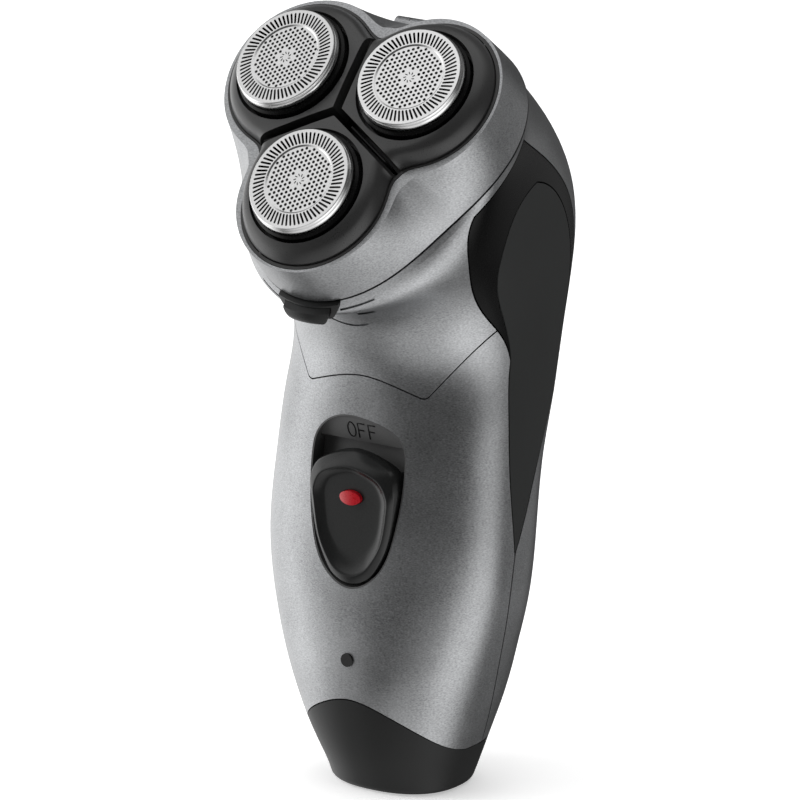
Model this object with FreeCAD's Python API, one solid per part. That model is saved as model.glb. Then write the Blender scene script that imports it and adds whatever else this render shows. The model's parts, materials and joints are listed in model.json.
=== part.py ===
"""Three-head rotary electric shaver, as an assembly of separate solids.

Frame: millimetres, origin at the centre of the flat base, +Z up, -Y towards the user's face side
(the side with the switch), +X to the right when the switch is looked at.
"""
import FreeCAD, Part
import math
import os

Vec = FreeCAD.Vector
Rot = FreeCAD.Rotation
Place = FreeCAD.Placement
X_AXIS, Y_AXIS, Z_AXIS = Vec(1, 0, 0), Vec(0, 1, 0), Vec(0, 0, 1)

# ---- driving dimensions ------------------------------------------------------------------------
# Handle: sections from the base to the last one below the collar.
# front (y, z), back (y, z), half width, front roundness, back roundness
HANDLE_SECTIONS = [
    ((-12.4, 0.0), (12.4, 0.0), 14.9, 2.3, 2.3),
    ((-16.2, 8.7), (16.4, 8.7), 17.7, 2.3, 2.3),
    ((-18.9, 17.5), (18.1, 17.5), 21.2, 2.3, 2.3),
    ((-20.4, 27.0), (18.8, 26.0), 24.2, 2.3, 2.35),
    ((-20.4, 35.5), (18.8, 35.0), 26.7, 2.3, 2.4),
    ((-20.0, 46.0), (18.9, 44.0), 28.8, 2.3, 2.45),
    ((-19.0, 60.0), (20.6, 62.0), 29.6, 2.3, 2.5),
    ((-17.0, 76.0), (25.8, 80.0), 29.0, 2.3, 2.6),
    ((-14.8, 92.0), (33.4, 99.0), 27.9, 2.3, 2.7),
    ((-18.6, 103.0), (38.7, 119.0), 28.5, 2.2, 2.7),
    ((-25.5, 108.7), (34.9, 137.0), 30.2, 2.1, 2.5),
]
SECTION_POINTS = 36          # points round each section
WALL = 2.0                   # wall of the moulded shells
FLOOR = 2.4                  # thickness of the base
SEAM = 0.3                   # gap along the visible seams
BASE_FILLET = 2.2

# Head: a plane through the three cap centres' ring, tilted forward.
HEAD_TILT = 48.8             # degrees about X
HEAD_CENTRE = Vec(0, -26.3, 152.7)
CAP_CIRCLE = 17.8            # head centre to each cap centre
CAP_TILT = 4.0               # each cap leans outwards
UNIT_ANGLES = {"front": -90.0, "right": 30.0, "left": 150.0}
COLLAR_DEPTH = 20.0          # depth of the opening plane below the cap plane
COLLAR_RADIUS, COLLAR_WAVE = 32.6, 3.2
STRIP_DEPTH = 21.4           # lower edge of the collar strip
RIM_DEPTH = 8.0              # depth of the frame's bright rim
RIM_LOBE, RIM_NOTCH = 17.5, 20.8
RIM_SHARPNESS = 22.0         # how tightly the rim turns between lobe and notch
LIP = 0.6                    # width of the bright rim at the lobes
NOTCH_BAND = 1.9             # how much wider the rim is in the hollows between the lobes
FRAME_WALL = 1.7
HEAD_GAP = 0.4               # dark line between the head and the neck
RING_GAP, RING_WIDTH, POD_GAP = 0.1, 0.65, 0.2

CAP_RADIUS = 11.5
CAP_HEIGHT = 2.4             # how far a cap stands out of its black ring
CAP_SKIN = 0.6
CHANNEL = 2.2                # width of the channels between the pods
RING_RADIUS = 12.4
SKIRT_DEPTH = 5.0
OPENING_RADIUS = 13.1
POD_TOP, POD_FLOOR = 2.4, 9.6
POD_PIVOT_RADIUS, POD_PIVOT_DEPTH = 14.6, 8.4
POD_PIN_RADIUS = 0.5
CARRIER_FLOOR, CARRIER_PLATE = 12.4, 1.2
RETAINER_DEPTH = 14.2
CUTTER_RADIUS = 10.4
CUTTER_BLADES = 12
HUB_RADIUS, SOCKET_RADIUS, HUB_DEPTH = 3.6, 2.5, 13.5

SPINDLE_CIRCLE = 16.9        # head centre to each spindle
SPINDLE_TIP_DEPTH = 11.5
SHAFT_RADIUS = 1.1
PINION_TEETH, GEAR_TEETH = 22, 34
GEAR_TOP, GEAR_THICKNESS = 25.6, 2.6
MODULE = 2 * SPINDLE_CIRCLE / (PINION_TEETH + GEAR_TEETH)
PLATE_TOP, PLATE_BOTTOM = 21.2, 23.4
BRACKET_TOP, BRACKET_BOTTOM = 30.4, 32.0
MOTOR_RADIUS, MOTOR_LENGTH = 12.0, 25.0

BEZEL_HALF, BEZEL_BOTTOM = 7.8, 24.9
BUTTON_HALF, BUTTON_TOP, BUTTON_BOTTOM = 5.6, 20.6, 24.1
BUTTON_GAP = 0.15
SPRING_RADIUS, SPRING_DEPTH = 1.4, 22.4

HINGE_V = 29.6               # hinge axis, behind the collar along the head plane
HINGE_RADIUS, HINGE_PIN_RADIUS = 1.6, 0.7
HINGE_INNER, HINGE_OUTER = 3.0, 6.6

# Side grips, seen from the side (y, z).
GRIP_TOP_CORNER = (-3.1, 144.9)
GRIP_FRONT_CORNER = (-16.7, 130.9)
GRIP_FRONT_EDGE = [(-17.6, 124.5), (-12.6, 114.6), (-6.0, 106.2), (-0.6, 99.4)]
GRIP_WAIST = (0.5, 95.6)
GRIP_LOWER_EDGE = [(-1.2, 86.5), (-2.5, 72.0)]
GRIP_TIP = (-1.8, 54.0)
GRIP_REAR_EDGE = [(2.2, 61.5), (9.1, 73.8), (20.0, 90.0), (26.3, 107.0), (23.6, 124.5), (12.6, 135.8)]
PAD_FRONT_EDGE = [(-2.2, 106.0), (-6.3, 115.5), (-6.2, 125.0)]
PAD_APEX = (4.4, 134.0)
PAD_REAR_EDGE = [(17.0, 126.6), (23.6, 113.0)]

# Neck panel and base cap, seen from the front (x, z).
NECK_ARCH = [(0.0, 91.7), (8.0, 90.3)]
NECK_CORNER = (14.6, 88.1)
NECK_SIDE = (30.0, 108.2)
WAVE_FRONT = [(0.0, 22.3), (8.0, 20.0), (14.0, 15.9), (18.2, 10.2)]
WAVE_REAR = [(0.0, 15.6), (8.0, 14.0), (14.0, 11.2), (18.2, 10.2)]
PARTING = [(3.9, 8.0), (0.2, 24.0), (-1.8, 38.0), (-1.8, 53.0), (1.0, 64.0), (5.0, 78.0), (6.0, 96.0),
           (4.4, 120.0), (-2.6, 143.0)]

# Finger grooves beside and below the release button, seen from the front (x, z).
SIDE_GROOVES = [[(7.0, 111.4), (9.7, 112.3), (13.9, 114.2)], [(4.6, 107.8), (6.6, 108.4), (9.6, 109.4)]]
LOW_GROOVE = [(-4.9, 105.0), (0.0, 103.9), (4.9, 105.0)]
GROOVE_WIDTH, GROOVE_DEPTH = 0.5, 0.4

# Switch recess and slider, seen from the front (x, z).
RECESS_TOP, RECESS_BOTTOM = 82.8, 47.0
RECESS_SIDE = [(9.6, 79.7), (11.5, 74.0), (11.2, 66.0), (9.5, 56.6), (6.2, 50.2)]
SLIDE_SLOPE = 0.11           # the front of the handle leans back by this much
RECESS_FLOOR_Y, RECESS_FLOOR_Z = -13.4, 62.0
RECESS_WALL = 1.3
RECESS_LINING = 0.3          # thickness of the recess cup where it shows at the opening
RAMP_LOW, RAMP_HIGH = (-13.6, 77.2), (-15.2, 82.2)  # (y, z) ends of the ramp above the slider
SLIDER_TOP, SLIDER_BOTTOM = 76.3, 47.7
SLIDER_SIDE = [(8.4, 73.6), (10.5, 69.4), (10.4, 64.8), (8.9, 56.7), (5.6, 50.8)]
SLIDER_TRAVEL = 4.5
STEM_HALF, STEM_LOW, STEM_HIGH = 1.5, 58.0, 62.0
LOCK_Z = 66.4
LOCK_HALF_WIDTH, LOCK_HALF_HEIGHT = 2.6, 1.5
LIGHT_Z, LIGHT_RADIUS = 31.2, 1.45

INLET_Y, INLET_RADIUS, INLET_LENGTH = 5.2, 3.9, 5.0
BOARD_FRONT, BOARD_BACK = -7.2, -5.6
CELL_RADIUS, CELL_LENGTH, CELL_BOTTOM, CELL_Y = 7.25, 50.0, 24.0, 6.5

# Pop-out trimmer in the back.
TRIMMER_BOTTOM, TRIMMER_TOP, TRIMMER_HALF = 103.8, 123.0, 13.0
TRIMMER_FRONT_Y = 30.0
TRIMMER_AXIS = (33.2, 106.6)  # (y, z)
TRIMMER_BARREL = 2.8
TRIMMER_PIN_HALF = 13.8
CATCH_HALF, CATCH_LOW, CATCH_HIGH, CATCH_TRAVEL = 4.0, 87.0, 92.0, 3.0
BIG = 200.0


# ---- helpers -----------------------------------------------------------------------------------
HEAD = Place(HEAD_CENTRE, Rot(X_AXIS, HEAD_TILT))


def at_head(shape):
    """Moves a shape from head coordinates (x right, y up the face, z out of it) to the handle's."""
    moved = shape.copy()
    moved.Placement = HEAD.multiply(shape.Placement)
    return moved


def unit_place(angle):
    """Head coordinates of one cutting unit: z along its tilted axis, x outwards, origin on the cap."""
    a = math.radians(angle)
    outward = Vec(math.cos(a), math.sin(a), 0)
    along = Vec(-math.sin(a), math.cos(a), 0)
    return Place(outward * CAP_CIRCLE, Rot(along, CAP_TILT)).multiply(Place(Vec(), Rot(Z_AXIS, angle)))


def at_unit(shape, angle):
    moved = shape.copy()
    moved.Placement = unit_place(angle).multiply(shape.Placement)
    return at_head(moved)


def turned(shape, angle, base=Vec(), axis=Z_AXIS):
    copy = shape.copy()
    copy.rotate(base, axis, angle)
    return copy


def box(x, y, z):
    """Box from pairs of limits."""
    return Part.makeBox(x[1] - x[0], y[1] - y[0], z[1] - z[0], Vec(x[0], y[0], z[0]))


def cylinder(radius, low, high, x=0.0, y=0.0, axis=Z_AXIS):
    """Cylinder along axis from low to high, centred on the line through (x, y)."""
    if axis == Z_AXIS:
        base = Vec(x, y, low)
    elif axis == X_AXIS:
        base = Vec(low, x, y)
    else:
        base = Vec(x, low, y)
    return Part.makeCylinder(radius, high - low, base, axis)


def tube(outer, inner, low, high, x=0.0, y=0.0, axis=Z_AXIS):
    return cylinder(outer, low, high, x, y, axis).cut(cylinder(inner, low - 1, high + 1, x, y, axis))


def fuse(first, *others):
    """One solid from several overlapping ones, with its faces merged where that works."""
    if not others:
        return first
    joined = first.multiFuse(list(others))
    clean = joined.removeSplitter()
    return joined if clean.isNull() or not clean.isValid() else clean


def cut(shape, *tools):
    for tool in tools:
        shape = shape.cut(tool)
    return shape


def spline(points, closed=False, tangents=None):
    curve = Part.BSplineCurve()
    if closed:
        steps = [float(i) for i in range(len(points) + 1)]
        curve.interpolate(Points=points, Parameters=steps, PeriodicFlag=True)
    elif tangents:
        curve.interpolate(Points=points, InitialTangent=tangents[0], FinalTangent=tangents[1])
    else:
        curve.interpolate(Points=points)
    return curve.toShape()


def line(start, end):
    return Part.LineSegment(start, end).toShape()


def side_point(point):
    return Vec(0, point[0], point[1])


def front_point(point):
    return Vec(point[0], 0, point[1])


def offset_edges(edges, amount):
    """Edges of a closed outline moved outwards, or inwards where amount is negative."""
    face = Part.Face(Part.Wire(edges))
    return face.makeOffset2D(amount).toNurbs().Edges


def side_prism(edges, low=-BIG, high=BIG):
    """Extrudes a closed outline drawn in the side view along X."""
    face = Part.Face(Part.Wire(edges))
    face.translate(Vec(low, 0, 0))
    return face.extrude(Vec(high - low, 0, 0))


def front_prism(edges, low=-BIG, high=BIG):
    """Extrudes a closed outline drawn in the front view along Y."""
    face = Part.Face(Part.Wire(edges))
    face.translate(Vec(0, low, 0))
    return face.extrude(Vec(0, high - low, 0))


def mirrored(shape):
    return shape.mirror(Vec(), X_AXIS)


def revolve(points):
    """Solid of revolution about Z from an (r, z) outline."""
    outline = [Vec(r, 0, z) for r, z in points]
    face = Part.Face(Part.makePolygon(outline + outline[:1]))
    return face.revolve(Vec(), Z_AXIS, 360)


def biggest(shape):
    return max(shape.Solids, key=lambda solid: solid.Volume)


def slab(top_depth, bottom_depth):
    """Everything between two depths below the cap plane."""
    return at_head(box((-60, 60), (-60, 60), (-bottom_depth, -top_depth)))


# ---- outer form of the handle ------------------------------------------------------------------
def section_wire(front, back, half_width, front_round, back_round, inset):
    """Rounded section in the plane through the front and back points and X, seam at the back."""
    front, back = side_point(front), side_point(back)
    depth = (back - front).Length / 2
    middle = (front + back) * 0.5
    backwards = (back - front).normalize()
    a, b = half_width - inset, depth - inset
    points = []
    for i in range(SECTION_POINTS):
        angle = math.radians(90 + 360.0 * i / SECTION_POINTS)
        c, s = math.cos(angle), math.sin(angle)
        power = front_round + (back_round - front_round) * (0.5 + 0.5 * s)
        radius = (abs(c / a) ** power + abs(s / b) ** power) ** (-1 / power)
        points.append(middle + X_AXIS * (radius * c) + backwards * (radius * s))
    return Part.Wire(spline(points, closed=True))


def polar_wire(radius_at, depth, count=SECTION_POINTS):
    """Closed curve round the head axis, radius_at(degrees), at a depth, in head coordinates."""
    points = []
    for i in range(count):
        angle = 90 + 360.0 * i / count
        a = math.radians(angle)
        r = radius_at(angle)
        points.append(Vec(r * math.cos(a), r * math.sin(a), -depth))
    return Part.Wire(spline(points, closed=True))


def collar_radius(angle):
    return COLLAR_RADIUS + COLLAR_WAVE * math.cos(math.radians(3 * (angle + 90)))


def rim_radius(angle):
    """Three lobes joined by smooth hollows."""
    smooth = RIM_NOTCH ** RIM_SHARPNESS
    for lobe in UNIT_ANGLES.values():
        off = math.radians(angle - lobe)
        inside = RIM_LOBE ** 2 - (CAP_CIRCLE * math.sin(off)) ** 2
        if inside > 0:
            smooth += max(CAP_CIRCLE * math.cos(off) + math.sqrt(inside), 0) ** RIM_SHARPNESS
    return smooth ** (1 / RIM_SHARPNESS)


def outer_rim_radius(angle):
    """Outside of the frame's rim, which widens in the hollows."""
    share = 0.5 + 0.5 * math.cos(math.radians(3 * (angle - 90)))
    return rim_radius(angle) + NOTCH_BAND * share ** 2


def handle_form(inset, collar_depth=COLLAR_DEPTH):
    wires = [section_wire(*section, inset) for section in HANDLE_SECTIONS]
    wires.append(at_head(polar_wire(lambda angle: collar_radius(angle) - inset, collar_depth)))
    return Part.makeLoft(wires, True, False)


def base_edge(form):
    for edge in form.Edges:
        box_ = edge.BoundBox
        if box_.ZMax < 0.01:
            return edge
    return None


OUTER = handle_form(0.0)
OUTER = OUTER.makeFillet(BASE_FILLET, [base_edge(OUTER)])
INNER = handle_form(WALL, COLLAR_DEPTH - 0.6).cut(box((-BIG, BIG), (-BIG, BIG), (-5, FLOOR)))
SHELL = OUTER.cut(INNER)
RAISED = handle_form(-2.2)


# ---- regions of the shell ----------------------------------------------------------------------
def grip_outline():
    """Side view of one grip: a straight top edge, a swept front edge and a long tail."""
    top, corner = side_point(GRIP_TOP_CORNER), side_point(GRIP_FRONT_CORNER)
    waist, tip = side_point(GRIP_WAIST), side_point(GRIP_TIP)
    front = [corner] + [side_point(p) for p in GRIP_FRONT_EDGE] + [waist]
    lower = [waist] + [side_point(p) for p in GRIP_LOWER_EDGE] + [tip]
    rear = [tip] + [side_point(p) for p in GRIP_REAR_EDGE] + [top]
    return [line(top, corner), spline(front), spline(lower), spline(rear)]


def pad_outline():
    """Side view of the rubber pad, which shares the grip's tail."""
    waist, tip = side_point(GRIP_WAIST), side_point(GRIP_TIP)
    rear_low = [side_point(p) for p in GRIP_REAR_EDGE[:4]]
    lower = [waist] + [side_point(p) for p in GRIP_LOWER_EDGE] + [tip]
    rear = [tip] + rear_low[:3] + [side_point(p) for p in reversed(PAD_REAR_EDGE)] + [side_point(PAD_APEX)]
    front = [side_point(PAD_APEX)] + [side_point(p) for p in reversed(PAD_FRONT_EDGE)] + [waist]
    return [spline(lower), spline(rear), spline(front)]


GRIP_ZONE = side_prism(grip_outline(), 10, 60)
GRIP_BODY = side_prism(offset_edges(grip_outline(), -SEAM), 10, 60)
PAD_BODY = side_prism(offset_edges(pad_outline(), -SEAM), 10, 60)
PAD_ZONE = side_prism(pad_outline(), 10, 60)


def wave_prism(points, y_low, y_high, lift):
    """Everything under the wavy top edge of the base cap."""
    right = [Vec(x, 0, z + lift) for x, z in points]
    left = [Vec(-p.x, 0, p.z) for p in reversed(right[1:])]
    crest = spline(left + right)
    far = 40.0
    start, end = left[0], right[-1]
    corners = [end, Vec(far, 0, end.z), Vec(far, 0, -10), Vec(-far, 0, -10), Vec(-far, 0, start.z), start]
    edges = [crest] + [line(a, b) for a, b in zip(corners, corners[1:])]
    return front_prism(edges, y_low, y_high)


def parting_curve(shift):
    return [Vec(0, y + shift, z) for y, z in PARTING]


def front_half(shift):
    """Everything in front of the parting line between the two handle shells."""
    curve = parting_curve(shift)
    top = Vec(0, curve[-1].y, 170)
    corners = [curve[-1], top, Vec(0, -80, 170), Vec(0, -80, curve[0].z - 20),
               Vec(0, curve[0].y, curve[0].z - 20), curve[0]]
    edges = [spline(curve)] + [line(a, b) for a, b in zip(corners, corners[1:])]
    return side_prism(edges)


def neck_zone(shift):
    """Everything above the neck panel's arched lower edge."""
    right = [Vec(x, 0, z + shift) for x, z in NECK_ARCH] + [Vec(NECK_CORNER[0], 0, NECK_CORNER[1] + shift)]
    left = [Vec(-p.x, 0, p.z) for p in reversed(right[1:])]
    side = Vec(NECK_SIDE[0] - shift, 0, NECK_SIDE[1])
    corners = [right[-1], side, Vec(60, 0, side.z), Vec(60, 0, 180), Vec(-60, 0, 180), Vec(-60, 0, side.z),
               Vec(-side.x, 0, side.z), left[0]]
    edges = [spline(left + right)] + [line(a, b) for a, b in zip(corners, corners[1:])]
    prism = front_prism(edges)
    sharp = [edge for edge in prism.Edges if is_neck_corner(edge)]
    return prism.makeFillet(1.6, sharp)


def is_neck_corner(edge):
    box_ = edge.BoundBox
    along_y = box_.YLength > 100 and box_.XLength < 0.1
    return along_y and abs(abs(box_.XMin) - NECK_CORNER[0]) < 0.5 and box_.ZMax < 100


BELOW_WAVE = fuse(wave_prism(WAVE_FRONT, -BIG, 1.6, 0), wave_prism(WAVE_REAR, 1.6, BIG, 0))
BELOW_WAVE_CAP = fuse(wave_prism(WAVE_FRONT, -BIG, 1.6, -SEAM), wave_prism(WAVE_REAR, 1.6, BIG, -SEAM))
STRIP = slab(-60, STRIP_DEPTH)


# ---- switch recess -----------------------------------------------------------------------------
def pear_edges(top, sides, bottom, grow=0.0):
    right = [Vec(x, 0, z) for x, z in sides]
    left = [Vec(-p.x, 0, p.z) for p in reversed(right)]
    outline = [Vec(0, 0, top)] + right + [Vec(0, 0, bottom)] + left
    edges = [spline(outline, closed=True)]
    return offset_edges(edges, grow) if grow else edges


def floor_y(z, offset=0.0):
    return RECESS_FLOOR_Y + SLIDE_SLOPE * (z - RECESS_FLOOR_Z) + offset


def side_polygon(corners, low, high):
    points = [side_point(p) for p in corners]
    return side_prism([line(a, b) for a, b in zip(points, points[1:] + points[:1])], low, high)


def recess_profile(offset):
    """Side view of the recess: a sloping floor, a small step and the ramp above the slider."""
    low, high, over = RECESS_BOTTOM - 6, RAMP_LOW[1] - 0.2 + offset, RECESS_TOP + 6
    corners = [(-BIG, low), (-BIG, over), (RAMP_HIGH[0] + offset, over), (RAMP_HIGH[0] + offset, RAMP_HIGH[1]),
               (RAMP_LOW[0] + offset, RAMP_LOW[1]), (floor_y(high, offset), high), (floor_y(low, offset), low)]
    return side_polygon(corners, -20, 20)


def recess_cut():
    return recess_prism(0).common(recess_profile(0))


def recess_prism(grow):
    return front_prism(pear_edges(RECESS_TOP, RECESS_SIDE, RECESS_BOTTOM, grow), -60, 0)


def switch_recess():
    """Black cup that lines the opening in the front shell and spreads out behind its wall."""
    behind = recess_prism(RECESS_WALL).common(handle_form(WALL + 0.02))
    throat = recess_prism(RECESS_LINING).common(handle_form(0.12))
    cup = fuse(behind, throat).common(recess_profile(RECESS_WALL))
    return biggest(cut(cup, recess_cut(), stem_slot()))


def stem_slot():
    margin = 0.4
    return box((-STEM_HALF - margin, STEM_HALF + margin), (-17, -9),
               (STEM_LOW - margin, STEM_HIGH + SLIDER_TRAVEL + margin))


# ---- shells ------------------------------------------------------------------------------------
def front_shell():
    shell = SHELL.common(front_half(-SEAM / 2))
    shell = cut(shell, BELOW_WAVE, neck_zone(0), GRIP_ZONE, mirrored(GRIP_ZONE), STRIP)
    shell = cut(biggest(shell), recess_prism(RECESS_LINING + 0.02))
    return cut(shell, cylinder(LIGHT_RADIUS + 0.05, -30, -10, 0, LIGHT_Z, Y_AXIS))


def oval(half_width, top_depth, bottom_depth, low, high):
    """Half oval, flat above and round below, running through the front of the neck."""
    edge = Part.Ellipse(Vec(), half_width, bottom_depth - top_depth).toShape()
    face = Part.Face(Part.Wire(edge))
    face.rotate(Vec(), X_AXIS, 90)
    face.translate(Vec(0, low, -top_depth))
    below = box((-half_width, half_width), (low, high), (-bottom_depth - 1, -top_depth))
    return face.extrude(Vec(0, high - low, 0)).common(below)


def release_zone(margin):
    """Pocket for the release button and its bezel."""
    return at_head(oval(BEZEL_HALF + margin, COLLAR_DEPTH - 1.5, BEZEL_BOTTOM + margin, -50, -24))


def hinge_barrel(radius, low, high):
    return at_head(cylinder(radius, low, high, HINGE_V, -COLLAR_DEPTH, X_AXIS))


def groove(points):
    """Thin curved ribbon through the front of the neck."""
    half = Vec(0, 0, GROOVE_WIDTH / 2)
    high = [front_point(p) + half for p in points]
    low = [front_point(p) - half for p in reversed(points)]
    return front_prism([spline(high), line(high[-1], low[0]), spline(low), line(low[-1], high[0])], -60, -10)


def finger_grooves():
    ribbons = [groove(LOW_GROOVE)]
    for points in SIDE_GROOVES:
        ribbons += [groove(points), mirrored(groove(points))]
    skin = OUTER.cut(handle_form(GROOVE_DEPTH))
    return [ribbon.common(skin) for ribbon in ribbons]


def neck_panel():
    """Chin panel and collar strip in one piece, with the outer hinge lugs at the back."""
    low_strip = STRIP_DEPTH - SEAM
    shell = cut(SHELL, release_zone(0.05),
                hinge_barrel(HINGE_RADIUS + 0.2, -HINGE_INNER - 0.15, HINGE_INNER + 0.15))
    ring = shell.common(slab(COLLAR_DEPTH + 0.1, low_strip))
    chin = shell.common(front_half(0)).common(neck_zone(SEAM))
    chin = cut(chin, GRIP_ZONE, mirrored(GRIP_ZONE), slab(0, low_strip))
    panel = ring.fuse(cut(biggest(chin), *finger_grooves()))
    for side in (-1, 1):
        low, high = sorted((side * (HINGE_INNER + 0.15), side * HINGE_OUTER))
        panel = panel.fuse(fuse(hinge_barrel(HINGE_RADIUS, low, high), lug_foot(low, high)))
    return cut(panel, hinge_barrel(HINGE_PIN_RADIUS, -20, 20))


def lug_foot(low, high):
    """Web that ties a hinge lug to the collar strip."""
    return at_head(box((low, high), (HINGE_V - 2.6, HINGE_V + 0.6), (-COLLAR_DEPTH - 1.1, -COLLAR_DEPTH - 0.2)))


def rear_shell():
    shell = cut(SHELL, front_half(SEAM / 2), BELOW_WAVE, GRIP_ZONE, mirrored(GRIP_ZONE), STRIP)
    shell = biggest(shell)
    shell = cut(shell, hinge_barrel(HINGE_RADIUS + 0.3, -HINGE_OUTER - 0.3, HINGE_OUTER + 0.3))
    y, z = TRIMMER_AXIS
    pin_way = cylinder(0.82, -TRIMMER_PIN_HALF, TRIMMER_PIN_HALF, y, z, X_AXIS)
    return cut(shell, trimmer_window(0.3), catch_slot(), pin_way)


def bottom_cap():
    cap = SHELL.common(BELOW_WAVE_CAP)
    boss = cylinder(INLET_RADIUS + 1.8, FLOOR - 0.5, INLET_LENGTH + 3.4, 0, INLET_Y)
    cap = fuse(biggest(cap), boss)
    cap = cut(cap, cylinder(INLET_RADIUS, -1, INLET_LENGTH, 0, INLET_Y))
    return cut(cap, cylinder(INLET_RADIUS - 0.6, -1, INLET_LENGTH + 10, 0, INLET_Y))


def grip_trim():
    trim = SHELL.common(GRIP_BODY).cut(PAD_ZONE)
    return biggest(trim.cut(STRIP))


def grip_pad():
    return biggest(SHELL.common(PAD_BODY).cut(STRIP))


# ---- shaving head ------------------------------------------------------------------------------
def frame_loft(inset, rim_at, top_depth, bottom_depth):
    """Blends from the collar outline to the three-lobed rim."""
    wires = []
    count = 5
    for i in range(count):
        share = i / (count - 1)
        depth = bottom_depth + (top_depth - bottom_depth) * share
        rim_share = min(max((COLLAR_DEPTH - depth) / (COLLAR_DEPTH - RIM_DEPTH), -0.1), 1.0)
        weight = max(rim_share, 0) ** 1.35

        def radius(angle, weight=weight):
            return collar_radius(angle) * (1 - weight) + rim_at(angle) * weight - inset

        wires.append(polar_wire(radius, depth, 72))
    return Part.makeLoft(wires, True, False)


def head_frame():
    bottom = COLLAR_DEPTH - HEAD_GAP
    outer = frame_loft(0.0, outer_rim_radius, RIM_DEPTH, bottom)
    inner = frame_loft(FRAME_WALL, rim_radius, RIM_DEPTH - 0.5, bottom)
    grow = frame_loft(FRAME_WALL, rim_radius, bottom - 0.2, COLLAR_DEPTH + 0.5)
    mouth = prism_polar(lambda a: rim_radius(a) - LIP, RIM_DEPTH - 1, CARRIER_FLOOR + CARRIER_PLATE + 0.1)
    frame = at_head(cut(outer, inner, grow, mouth))
    for side in (-1, 1):
        low, high = sorted((side * (HINGE_INNER - 0.02), side * (HINGE_OUTER + 0.2)))
        frame = frame.cut(hinge_barrel(HINGE_RADIUS + 0.2, low, high))
    knuckle = hinge_barrel(HINGE_RADIUS, -HINGE_INNER, HINGE_INNER)
    web = at_head(box((-HINGE_INNER, HINGE_INNER), (HINGE_V - 3.2, HINGE_V),
                      (-bottom, -COLLAR_DEPTH + 2.0)))
    frame = fuse(frame, knuckle, web)
    return cut(frame, hinge_barrel(HINGE_PIN_RADIUS + 0.05, -20, 20))


def prism_polar(radius_at, top_depth, bottom_depth):
    wires = [polar_wire(radius_at, bottom_depth, 72), polar_wire(radius_at, top_depth, 72)]
    return Part.makeLoft(wires, True, True)


RING_OUTER_INSET = LIP + RING_GAP
RING_INNER_INSET = RING_OUTER_INSET + RING_WIDTH
POD_INSET = RING_INNER_INSET + POD_GAP


def head_carrier():
    """Dark ring inside the rim, with a floor that carries the pods."""
    bottom = CARRIER_FLOOR + CARRIER_PLATE
    outer = prism_polar(lambda a: rim_radius(a) - RING_OUTER_INSET, RIM_DEPTH - 0.1, bottom)
    inner = prism_polar(lambda a: rim_radius(a) - RING_INNER_INSET, RIM_DEPTH - 2, CARRIER_FLOOR)
    carrier = at_head(cut(outer, inner, cylinder(3.0, -30, 0)))
    for angle in UNIT_ANGLES.values():
        carrier = carrier.cut(at_unit(cylinder(12.9, -30, 5), angle))
        carrier = carrier.cut(at_unit(pod_pin_line(POD_PIN_RADIUS, 12), angle))
    return biggest(carrier)


def pod_pin_line(radius, half_length):
    """The pivot line of a pod: tangent to its opening, at the outer end."""
    return cylinder(radius, -half_length, half_length, POD_PIVOT_RADIUS, -POD_PIVOT_DEPTH, Y_AXIS)


def dome():
    """Gently domed top that all three pods share, with a rounded outer edge."""
    wires = [polar_wire(lambda a: rim_radius(a) - POD_INSET, POD_FLOOR + 0.5, 72)]
    for share in (1.0, 0.985, 0.96, 0.93, 0.89, 0.83, 0.75, 0.65, 0.53, 0.41, 0.3):
        depth = POD_TOP + 1.0 * share + 4.0 * share ** 18
        wires.append(polar_wire(lambda a, s=share: (rim_radius(a) - POD_INSET) * s, depth, 72))
    wall = prism_polar(lambda a: rim_radius(a) - POD_INSET, -5, POD_FLOOR)
    return Part.makeLoft(wires, True, False).common(wall)


def pods():
    """The three pods, cut from one dome by the Y-shaped channel."""
    form = dome()
    result = {}
    for name, angle in UNIT_ANGLES.items():
        half = CHANNEL / 2
        pod = form
        for side in (-60, 60):
            away = box((-60, 60), (-60, half) if side < 0 else (-half, 60), (-30, 10))
            pod = pod.cut(turned(away, angle + side))
        pod = at_head(biggest(pod))
        opening = fuse(cylinder(OPENING_RADIUS, -8.2, 10), cylinder(11.2, -30, 0))
        pod = pod.cut(at_unit(opening, angle))
        pod = pod.cut(at_unit(pod_pin_line(POD_PIN_RADIUS + 0.07, 12), angle))
        result["pod_" + name] = biggest(pod)
    return result


def pod_pins():
    half = 8.1
    return [at_unit(pod_pin_line(POD_PIN_RADIUS, half), angle) for angle in UNIT_ANGLES.values()]


def cap():
    """Steel cap: a cup with a shallow track pressed in its top and a foot inside the black ring."""
    skin = CAP_SKIN
    return revolve([
        (0, -0.25), (6.6, -0.25), (7.3, -0.05), (7.8, -0.05), (10.7, -0.05), (11.0, 0), (CAP_RADIUS - 0.25, 0),
        (CAP_RADIUS, -0.25), (CAP_RADIUS, -SKIRT_DEPTH), (CAP_RADIUS - skin, -SKIRT_DEPTH),
        (CAP_RADIUS - skin, -skin), (0, -skin - 0.2)])


def cap_ring():
    """Black collar that holds the cap in its pod."""
    inner = CAP_RADIUS + 0.02
    return revolve([(inner, -CAP_HEIGHT), (RING_RADIUS - 0.5, -CAP_HEIGHT), (RING_RADIUS, -CAP_HEIGHT - 0.5),
                    (RING_RADIUS, -SKIRT_DEPTH - 1.2), (10.6, -SKIRT_DEPTH - 1.2), (10.6, -SKIRT_DEPTH - 0.05),
                    (inner, -SKIRT_DEPTH - 0.05)])


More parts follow.
